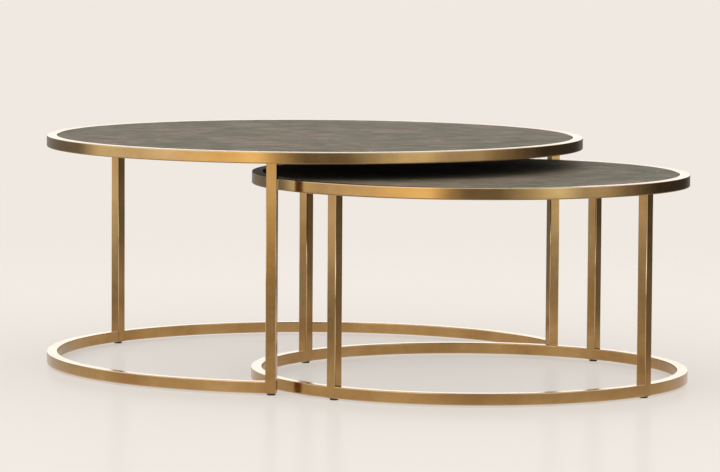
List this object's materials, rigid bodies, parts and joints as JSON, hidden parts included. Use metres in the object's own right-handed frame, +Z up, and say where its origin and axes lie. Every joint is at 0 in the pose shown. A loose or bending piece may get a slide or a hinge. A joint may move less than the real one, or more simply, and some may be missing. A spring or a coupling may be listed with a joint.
{
  "type": "nesting tables",
  "caption": "Round nesting coffee tables: a low table slides in and out between the front legs of a larger one, both in square tube with ring bases.",
  "frame": {"origin": "on the floor, under the middle of the pair's bounding box with the small table part way out", "axes": "+X the way the small table slides out between the large table's front legs, +Z up, +Y to the right as seen from the open front looking back"},
  "size_m": [1.3565, 1.0668, 0.4572],
  "materials": {
    "brass_frame": "antique brass, satin, on rolled square tube",
    "embossed_leather": "grey-brown leather with a fine pebbled emboss, semi-matt",
    "board_core": "medium-density fibreboard, raw",
    "backing_sheet": "black balancing sheet",
    "support_bars": "dark bronze powder coat on flat steel bar",
    "screws": "zinc-plated steel",
    "glides": "moulded dark nylon"
  },
  "bodies": {
    "large_table": {"large_rim_hoop": "brass_frame", "large_leg_front_left": "brass_frame", "large_leg_front_right": "brass_frame", "large_leg_back": "brass_frame", "large_base_rail_left": "brass_frame", "large_base_rail_right": "brass_frame", "large_support_bar_1": "support_bars", "large_support_bar_2": "support_bars", "large_support_bar_3": "support_bars", "large_top_backing": "backing_sheet", "large_top_core": "board_core", "large_top_skin": "embossed_leather", "large_top_screws": "screws", "large_glide_front_left": "glides", "large_glide_front_right": "glides", "large_glide_back": "glides"},
    "small_table": {"small_rim_hoop": "brass_frame", "small_leg_front": "brass_frame", "small_leg_right": "brass_frame", "small_leg_back": "brass_frame", "small_leg_left": "brass_frame", "small_base_rail_front_right": "brass_frame", "small_base_rail_back_right": "brass_frame", "small_base_rail_back_left": "brass_frame", "small_base_rail_front_left": "brass_frame", "small_support_bar_1": "support_bars", "small_support_bar_2": "support_bars", "small_top_backing": "backing_sheet", "small_top_core": "board_core", "small_top_skin": "embossed_leather", "small_top_screws": "screws", "small_glide_front": "glides", "small_glide_right": "glides", "small_glide_back": "glides", "small_glide_left": "glides"}
  },
  "joints": [
    {"name": "small_table_slide", "type": "slide", "parent": "large_table", "child": "small_table", "axis": [1, 0, 0], "range_m": [-0.4008, 0.6]}
  ]
}
